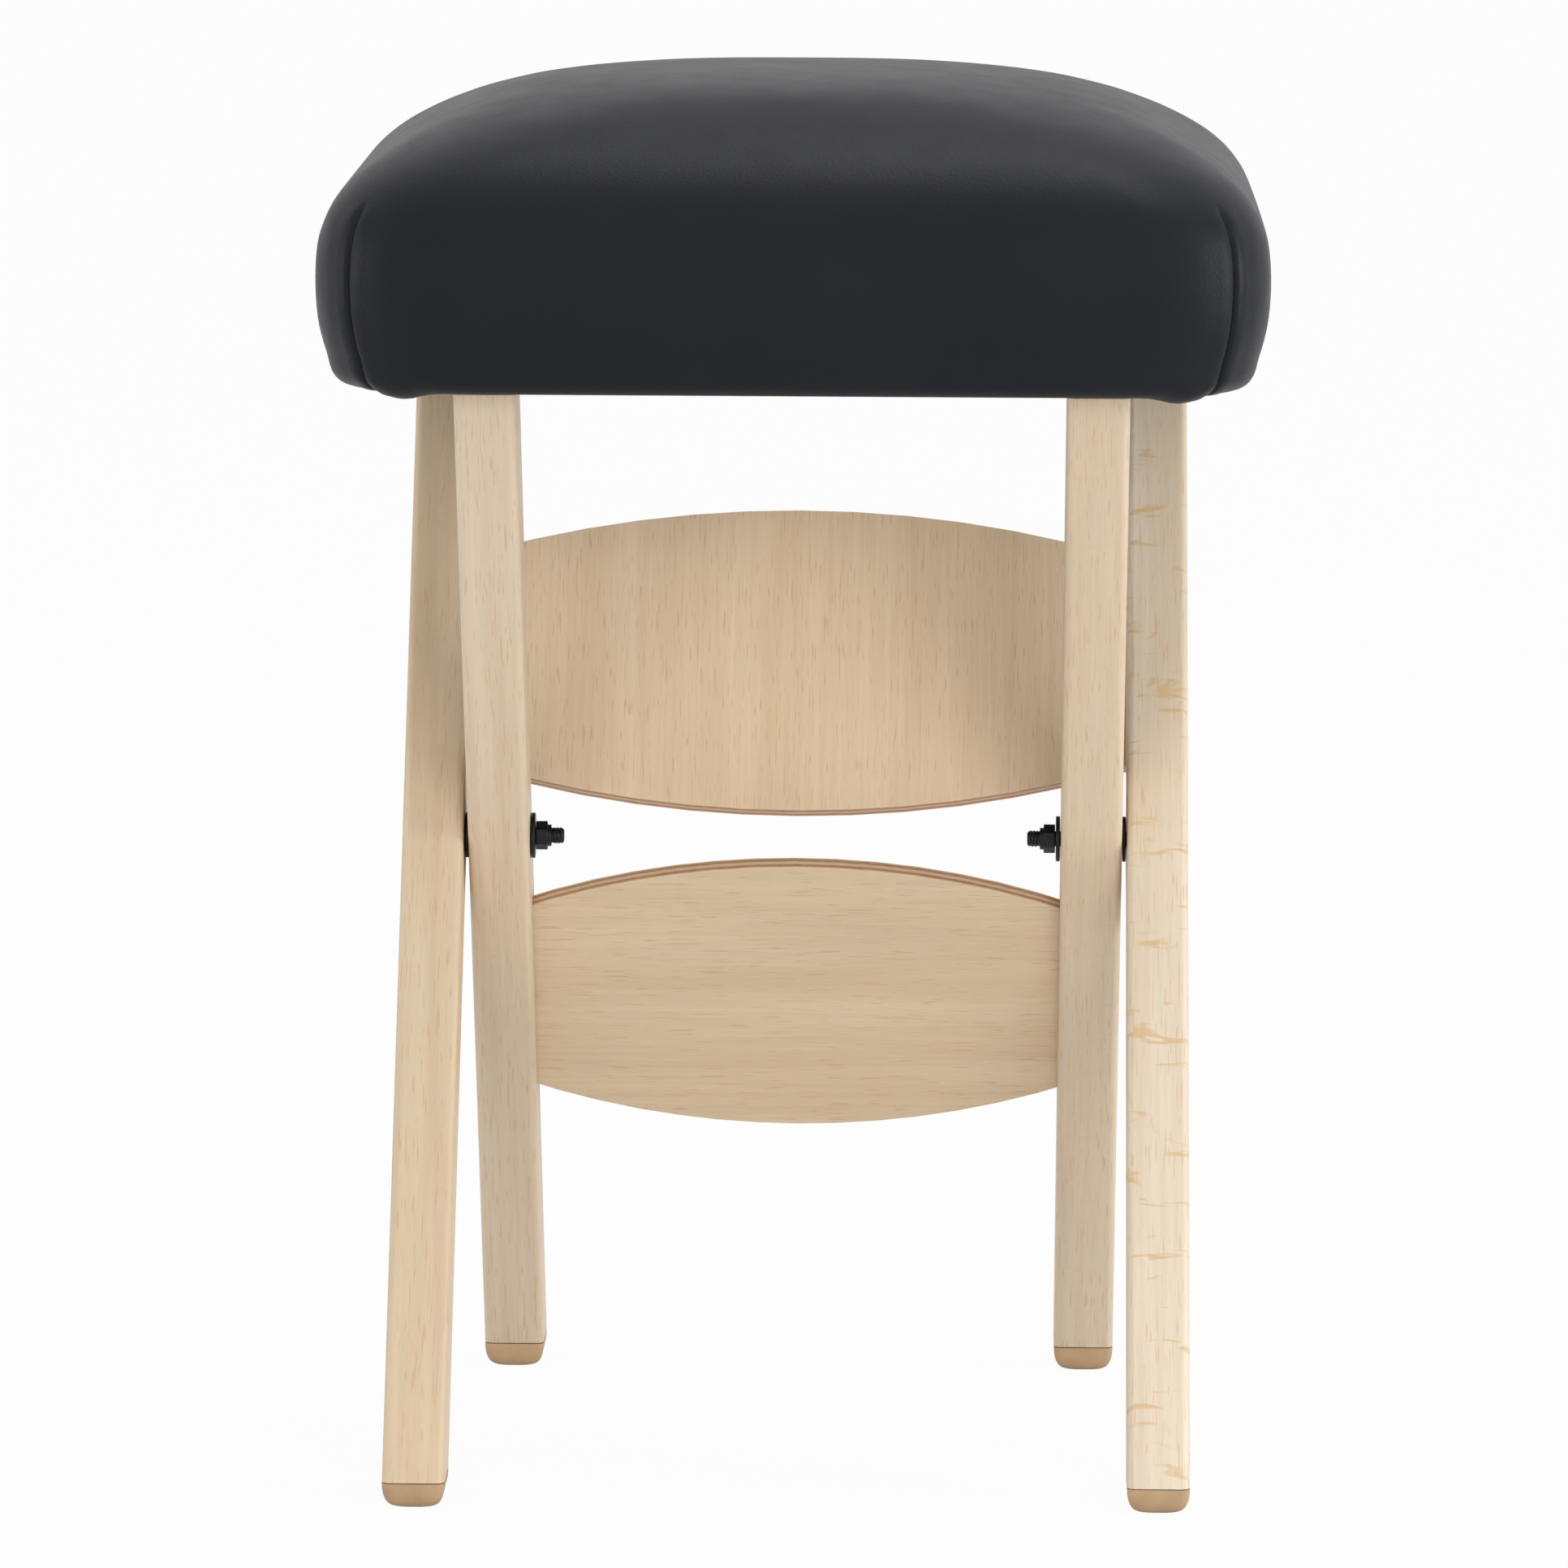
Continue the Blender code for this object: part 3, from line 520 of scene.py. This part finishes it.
def cushion_ring(side_inset, front_inset, height, spacing):
    """The cushion's widest outline drawn in at the sides, and at the front and back, at one height."""
    half_width = COVER_HIGH.x - side_inset
    half_depth = COVER_HIGH.y - front_inset
    radius = min(CORNER_RADIUS, ROUND_SHARE * min(half_width, half_depth))
    return rounded_ring(half_width, half_depth, radius, height, spacing)


def bulge(rise, fullness):
    """How far a side is drawn in at a share of its rise, as a share of its reach."""
    return 1 - (1 - rise ** fullness) ** (1 / fullness)


def cushion_side(undersize, lower_rings, upper_rings, spacing):
    """Rings up the cushion's side from its lower edge and over its crown."""
    lower_power = 2 / LOWER_FULLNESS
    widest = COVER_LOW.z + BELOW_WIDEST
    crown = COVER_HIGH.z - widest - undersize - CROWN_SETTLING
    reach = min(COVER_HIGH.x, COVER_HIGH.y) - undersize
    rings = []
    for step in range(lower_rings):
        turn = math.pi / 2 * step / lower_rings
        inset = undersize + (DRAW_IN - undersize) * (1 - math.sin(turn) ** lower_power)
        height = widest - BELOW_WIDEST * math.cos(turn) ** lower_power
        rings.append(cushion_ring(inset, inset, height, spacing))
    for step in range(upper_rings + 1):
        rise = math.sin(CROWN_TURN * step / upper_rings) ** (2 / SIDE_FULLNESS)
        side_inset = undersize + reach * bulge(rise, SIDE_FULLNESS)
        front_inset = undersize + reach * bulge(rise, FRONT_FULLNESS)
        rings.append(cushion_ring(side_inset, front_inset, widest + crown * rise, spacing))
    return rings


def add_item(name, data):
    """A new object in the scene."""
    item = bpy.data.objects.new(name, data)
    bpy.context.scene.collection.objects.link(item)
    return item


def item_from(name, shape):
    """A new object with the faces of a shape under construction, which is used up."""
    mesh = bpy.data.meshes.new(name)
    shape.to_mesh(mesh)
    shape.free()
    return add_item(name, mesh)


def skin_over(name, rings):
    """A closed mesh over rings of points, capped at both ends."""
    shape = bmesh.new()
    rows = [[shape.verts.new(point) for point in ring] for ring in rings]
    for first, second in zip(rows, rows[1:]):
        count = len(first)
        for index in range(count):
            after = (index + 1) % count
            shape.faces.new((first[index], first[after], second[after], second[index]))
    shape.faces.new(list(reversed(rows[0])))
    shape.faces.new(rows[-1])
    bmesh.ops.recalc_face_normals(shape, faces=shape.faces)
    return item_from(name, shape)


def bake(item):
    """Replace an object's mesh by what its modifiers make of it."""
    graph = bpy.context.evaluated_depsgraph_get()
    mesh = bpy.data.meshes.new_from_object(item.evaluated_get(graph))
    item.modifiers.clear()
    item.data = mesh


def blow_up(item):
    """Swell the blank as cloth under pressure, held along its lower edge, then even out its swell."""
    scene = bpy.context.scene
    mesh = item.data
    start = numpy.array([point.co for point in mesh.vertices])
    outward = numpy.array([point.normal for point in mesh.vertices])
    held = item.vertex_groups.new(name="held")
    for point in mesh.vertices:
        height = point.co.z - COVER_LOW.z
        held.add([point.index], 1 - smooth_step(height, HELD_BELOW, FREE_ABOVE), "REPLACE")
    cloth = item.modifiers.new("cloth", "CLOTH")
    cloth.settings.quality = 5
    cloth.settings.mass = 0.3
    cloth.settings.bending_stiffness = 5.0
    cloth.settings.use_pressure = True
    cloth.settings.uniform_pressure_force = SWELL_PRESSURE
    cloth.settings.effector_weights.gravity = 0.0
    cloth.settings.vertex_group_mass = "held"
    for number in range(1, SWELL_FRAMES + 1):
        scene.frame_set(number)
    graph = bpy.context.evaluated_depsgraph_get()
    moved = numpy.array([point.co for point in item.evaluated_get(graph).data.vertices])
    item.modifiers.clear()
    item.vertex_groups.clear()
    scene.frame_set(1)
    swell = numpy.clip(((moved - start) * outward).sum(axis=1), 0.0, SWELL_CAP)
    count = len(swell)
    first, second = numpy.array([edge.vertices for edge in mesh.edges]).T
    links = numpy.bincount(first, minlength=count) + numpy.bincount(second, minlength=count)
    for _ in range(SWELL_EASING):
        around = numpy.bincount(first, swell[second], count) + numpy.bincount(second, swell[first], count)
        swell = (swell + around / links) / 2
    for point, place in zip(mesh.vertices, start + outward * swell[:, None]):
        point.co = place


def swollen_surface():
    """The blown-up and eased blank, as a surface to lay the finished skin on."""
    spacing = (even_turns(BLANK_STEPS), BLANK_STEPS)
    rings = cushion_side(BLANK_UNDERSIZE, BLANK_STEPS, BLANK_UPPER_RINGS, spacing)
    item = skin_over("cushion_blank", rings)
    remesh = item.modifiers.new("remesh", "REMESH")
    remesh.mode = "VOXEL"
    remesh.voxel_size = BLANK_VOXEL
    bake(item)
    blow_up(item)
    ease = item.modifiers.new("ease", "SMOOTH")
    ease.factor = 0.5
    ease.iterations = 8
    finer = item.modifiers.new("finer", "SUBSURF")
    finer.levels = 1
    finer.render_levels = 1
    bake(item)
    tree = BVHTree.FromObject(item, bpy.context.evaluated_depsgraph_get())
    bpy.data.objects.remove(item, do_unlink=True)
    return tree


def corner_lines():
    """For each corner: the middle of its round, and the direction out of it."""
    lines = []
    for sign_x in (-1, 1):
        for sign_y in (-1, 1):
            middle_x = sign_x * (COVER_HIGH.x - CORNER_RADIUS)
            middle_y = sign_y * (COVER_HIGH.y - CORNER_RADIUS)
            lines.append((Vector((middle_x, middle_y, 0)), Vector((sign_x, sign_y, 0)).normalized()))
    return lines


def sew_darts(mesh):
    """Draw the corner darts in, and let the cover's gathered ends hang a little at the bottom corners."""
    normals = [point.normal.copy() for point in mesh.vertices]
    for point, normal in zip(mesh.vertices, normals):
        height = point.co.z - COVER_LOW.z
        if height > DART_TOP:
            continue
        for middle, outward in corner_lines():
            flat = Vector((point.co.x, point.co.y, 0)) - middle
            reach = flat.dot(outward)
            aside = flat.cross(outward).z
            if reach < BUNCH_REACH[0]:
                continue
            running = 1 - smooth_step(height, DART_TOP * DART_RUN_OUT, DART_TOP)
            sewn = running * smooth_step(reach, *DART_REACH)
            tight = 1 - STITCH_PULL + STITCH_PULL * math.cos(2 * math.pi * height / STITCH_PITCH)
            shoulder = SHOULDER_HEIGHT * bell(abs(aside), SHOULDER_ASIDE, SHOULDER_WIDTH) * tight
            groove = DART_DEPTH * bell(aside, 0, DART_WIDTH)
            # Positive on the cushion's front or back, negative on its left or right side
            past_dart = -aside if outward.x * outward.y > 0 else aside
            hang = bell(past_dart, BUNCH_ASIDE, BUNCH_WIDTH) * (1 - smooth_step(height, 0.0, BUNCH_TOP))
            point.co += normal * (shoulder - groove) * sewn
            point.co.z -= BUNCH_DROP * hang * smooth_step(reach, *BUNCH_REACH)


def make_cushion(material):
    """The pad: a taut cover with corner darts, turned in under the board that it encloses."""
    surface = swollen_surface()
    spacing = (dart_turns(DART_TURNS), SIDE_STEPS)
    side = cushion_side(0.0, LOWER_RINGS, UPPER_RINGS, spacing)
    for ring in side:
        for point in ring:
            laid, _, _, _ = surface.find_nearest(point)
            point += (laid - point) * smooth_step(point.z - COVER_LOW.z, 0.0, LAID_ABOVE)
    board_top = BOARD_HIGH.z + SLIP
    lip_top = BOARD_LOW.z - SLIP
    inside = [
        cushion_ring(LIP_INSET, LIP_INSET, board_top, spacing),
        cushion_ring(DRAW_IN, DRAW_IN, board_top, spacing),
        cushion_ring(DRAW_IN, DRAW_IN, lip_top, spacing),
        cushion_ring(LIP_INSET, LIP_INSET, lip_top, spacing),
    ]
    lip = []
    for step in range(LIP_RINGS):
        share = step / LIP_RINGS
        inset = LIP_INSET + (DRAW_IN - LIP_INSET) * share
        lip.append(cushion_ring(inset, inset, COVER_LOW.z - LIP_DROP * (1 - share), spacing))
    item = skin_over("seat_cushion", inside + lip + side)
    sew_darts(item.data)
    item.data.materials.append(material)
    item.data.shade_smooth()
    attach(item, "seat")
    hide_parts("seat_cover", "seat_foam")
    return item


def make_stitches(cushion, material):
    """Short thread stitches in the four darts."""
    tree = BVHTree.FromObject(cushion, bpy.context.evaluated_depsgraph_get())
    shape = bmesh.new()
    for middle, outward in corner_lines():
        for index in range(int(DART_TOP * STITCHED_SHARE / STITCH_PITCH)):
            height = COVER_LOW.z + STITCH_START + index * STITCH_PITCH
            origin = middle + outward * PROBE_START + Vector((0, 0, height))
            hit, normal, _, _ = tree.ray_cast(origin, -outward)
            above, _, _, _ = tree.ray_cast(origin + Vector((0, 0, PROBE_STEP)), -outward)
            along = (above - hit).normalized()
            across = normal.cross(along).normalized()
            turn = Matrix((across, normal, along)).transposed().to_4x4()
            size = Matrix.Diagonal((*STITCH_RADII, 1.0))
            place = Matrix.Translation(hit + outward * STITCH_PROUD) @ turn @ size
            bmesh.ops.create_uvsphere(shape, u_segments=8, v_segments=6, radius=1.0, matrix=place)
    item = item_from("seat_stitches", shape)
    item.data.shade_smooth()
    item.data.materials.append(material)
    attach(item, "seat")


def make_feet(material):
    """Rubber feet that round over towards the floor like a bowl, each with its screw's recess."""
    spacing = (even_turns(FOOT_TURNS), FOOT_SIDE_STEPS)
    power = 2 / FOOT_FULLNESS
    for name in sorted(NODES):
        if "foot" not in name or "screw" in name:
            continue
        low, high = map(Vector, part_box(name))
        screw_low, screw_high = map(Vector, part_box(name.replace("foot", "foot_screw")))
        half = (high - low) / 2
        recess = (screw_high.x - screw_low.x) / 2 + RECESS_CLEARANCE
        rings = [
            rounded_ring(recess, recess, recess * ROUND_SHARE, level, spacing)
            for level in (screw_low.z + RECESS_CLEARANCE, low.z)
        ]
        for step in range(FOOT_LEVELS + 1):
            turn = math.pi / 2 * step / FOOT_LEVELS
            inset = FOOT_DRAW_IN * (1 - math.sin(turn) ** power)
            level = high.z - (high.z - low.z) * math.cos(turn) ** power
            radius = FOOT_CORNER_RADIUS + inset / 2
            rings.append(rounded_ring(half.x - inset, half.y - inset, radius, level, spacing))
        middle = Vector(((low.x + high.x) / 2, (low.y + high.y) / 2, 0))
        item = skin_over("rubber_" + name, [[middle + point for point in ring] for ring in rings])
        item.data.shade_smooth()
        item.data.set_sharp_from_angle(angle=SHARP_ANGLE)
        item.data.materials.append(material)
        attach(item, "outer_frame" if name.startswith("front") else "inner_frame")
        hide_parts(name)


def make_threads(material):
    """The bolts' threads beyond the lock nuts, as a ridge wound along each stub."""
    for side, sign in SIDES.items():
        start = min(abs(corner[0]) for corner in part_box("pivot_nut_" + side)) - THREAD_PITCH / 2
        end = min(abs(corner[0]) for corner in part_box("pivot_bolt_" + side)) + THREAD_PITCH / 2
        count = int((start - end) / THREAD_PITCH * THREAD_STEPS)
        rows = []
        for index in range(count + 1):
            turn = 2 * math.pi * index / THREAD_STEPS
            along = start - THREAD_PITCH * index / THREAD_STEPS
            from_end = min(index, count - index) / THREAD_STEPS
            ridge = THREAD_HEIGHT * max(THREAD_LEAST, min(1.0, 2 * from_end))
            row = []
            for shift, height in ((-THREAD_FOOT, -THREAD_SINK), (0.0, ridge), (THREAD_FOOT, -THREAD_SINK)):
                reach = THREAD_ROOT + height
                row.append(Vector((
                    sign * (along + shift * THREAD_PITCH),
                    PIVOT.y + reach * math.cos(turn),
                    PIVOT.z + reach * math.sin(turn),
                )))
            rows.append(row)
        item = skin_over("bolt_thread_" + side, rows)
        item.data.materials.append(material)
        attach(item, "outer_frame")


def screw_head(name):
    """The middle of a screw's head, the direction out of it and the head's radius, from its points."""
    points = numpy.array([point.co for point in NODES[name].data.vertices])
    middle = points.mean(axis=0)
    axis = numpy.linalg.svd(points - middle, full_matrices=False)[2][0]
    along = (points - middle) @ axis
    radius = numpy.linalg.norm(points - middle - numpy.outer(along, axis), axis=1)
    if along[radius.argmax()] < 0:
        axis = -axis
        along = -along
    return Vector(middle + axis * along.max()), Vector(axis), radius.max()


def make_painted_recess_shade(material):
    """A flat black cross laid on the head of each wood screw as painted shade of its cross recess, one mesh
    for each body.
    """
    bodies = {"outer_frame": ("panel", "front", "leg"), "inner_frame": ("rear",), "seat": ("seat", "socket")}
    for body, starts in bodies.items():
        shape = bmesh.new()
        for name in sorted(NODES):
            if "screw" not in name or not name.startswith(starts):
                continue
            face, outward, radius = screw_head(name)
            place = Matrix.Translation(face) @ outward.to_track_quat("Z", "Y").to_matrix().to_4x4()
            # Each cross is a thin black slab on the zinc head: painted shade where the recess would be
            # hollow
            for length, width in ((CROSS_LENGTH, CROSS_WIDTH), (CROSS_WIDTH, CROSS_LENGTH)):
                size = Matrix.Diagonal((2 * radius * length, 2 * radius * width, CROSS_HEIGHT, 1.0))
                bmesh.ops.create_cube(shape, size=1.0, matrix=place @ size)
        item = item_from("screw_recess_painted_shade_" + body, shape)
        item.data.materials.append(material)
        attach(item, body)


def make_camera():
    """The camera at the photograph's viewing angle."""
    forward = Vector((
        math.sin(CAMERA_YAW) * math.cos(CAMERA_PITCH),
        math.cos(CAMERA_YAW) * math.cos(CAMERA_PITCH),
        -math.sin(CAMERA_PITCH),
    ))
    level = Vector((math.cos(CAMERA_YAW), -math.sin(CAMERA_YAW), 0))
    upright = level.cross(forward)
    right = level * math.cos(CAMERA_ROLL) + upright * math.sin(CAMERA_ROLL)
    up = upright * math.cos(CAMERA_ROLL) - level * math.sin(CAMERA_ROLL)
    data = bpy.data.cameras.new("camera")
    data.sensor_fit = "HORIZONTAL"
    data.sensor_width = SENSOR_WIDTH
    data.lens = FOCAL_PIXELS / PICTURE_WIDTH * SENSOR_WIDTH
    data.clip_end = CAMERA_REACH
    camera = add_item("camera", data)
    turn = Matrix((right, up, -forward)).transposed().to_4x4()
    camera.matrix_world = Matrix.Translation(CAMERA_PLACE) @ turn
    bpy.context.scene.camera = camera


def seen_rays(tree):
    """1 for rays from the camera, in reflections and through glass, and 0 for the light itself."""
    path = tree.nodes.new("ShaderNodeLightPath")
    seen = path.outputs["Is Camera Ray"]
    for ray in ("Is Glossy Ray", "Is Transmission Ray"):
        either = tree.nodes.new("ShaderNodeMath")
        either.operation = "MAXIMUM"
        tree.links.new(seen, either.inputs[0])
        tree.links.new(path.outputs[ray], either.inputs[1])
        seen = either.outputs[0]
    return seen


def make_floor():
    """A plain pale floor that shows nearly white and keeps a faint shadow."""
    mesh = bpy.data.meshes.new("floor")
    corners = [
        (sign_x * FLOOR_REACH, sign_y * FLOOR_REACH, 0)
        for sign_x, sign_y in ((-1, -1), (1, -1), (1, 1), (-1, 1))
    ]
    mesh.from_pydata(corners, [], [(0, 1, 2, 3)])
    floor = add_item("floor", mesh)
    floor.location.z = -FLOOR_DROP
    shade = Shade("pale_floor")
    shade.finish(Base_Color=(FLOOR_GREY, FLOOR_GREY, FLOOR_GREY, 1.0), Roughness=0.9)
    share = shade.math("MULTIPLY", seen_rays(shade.tree), FLOOR_GLOW)
    glow = shade.add("ShaderNodeEmission", Color=(1, 1, 1, 1), Strength=1.0)
    both = shade.add("ShaderNodeMixShader", Fac=share)
    shade.put(both.inputs[1], shade.shader.outputs[0])
    shade.put(both.inputs[2], glow.outputs[0])
    shade.put(shade.tree.nodes["Material Output"].inputs["Surface"], both.outputs[0])
    mesh.materials.append(shade.material)


def make_world():
    """White where it is seen, and an even soft light elsewhere."""
    world = bpy.data.worlds.new("studio")
    bpy.context.scene.world = world
    world.use_nodes = True
    tree = world.node_tree
    background = tree.nodes["Background"]
    background.inputs["Color"].default_value = (1, 1, 1, 1)
    strength = tree.nodes.new("ShaderNodeMapRange")
    strength.inputs["To Min"].default_value = WORLD_LEVEL
    strength.inputs["To Max"].default_value = 1.0
    tree.links.new(seen_rays(tree), strength.inputs["Value"])
    tree.links.new(strength.outputs[0], background.inputs["Strength"])


def make_lamp(name, place, aim_at, size, watts, mirrored=True):
    """A large soft lamp, with or without its own reflection in glossy surfaces."""
    data = bpy.data.lights.new(name, "AREA")
    data.shape = "RECTANGLE"
    data.size = size[0]
    data.size_y = size[1]
    data.energy = watts
    lamp = add_item(name, data)
    lamp.location = place
    lamp.rotation_euler = (Vector(aim_at) - Vector(place)).to_track_quat("-Z", "Y").to_euler()
    lamp.visible_glossy = mirrored


def make_light():
    """Two lamps at the front, one at each side that lights the edges, and one overhead."""
    middle = (0, 0, 0.3)
    seat = (0, 0, 0.5)
    make_lamp("key", (1.05, -3.4, 1.0), middle, size=(1.7, 1.4), watts=39, mirrored=False)
    make_lamp("fill", (-1.0, -3.45, 0.75), middle, size=(1.7, 1.3), watts=19, mirrored=False)
    make_lamp("right", (2.6, -0.7, 0.7), middle, size=(0.8, 1.4), watts=34)
    make_lamp("left", (-2.6, -0.5, 0.6), middle, size=(0.8, 1.2), watts=14)
    make_lamp("top", (0.35, 0.15, 2.5), seat, size=(1.6, 0.7), watts=14)


def build():
    """Dress the frame, make the soft pieces and set the stage."""
    bpy.context.scene.view_settings.view_transform = "Standard"
    dress_wood()
    black = dress_fittings()
    hide = leather()
    cushion = make_cushion(hide)
    make_stitches(cushion, hide)
    make_feet(rubber())
    make_threads(black)
    make_painted_recess_shade(black)
    make_camera()
    make_floor()
    make_world()
    make_light()


build()
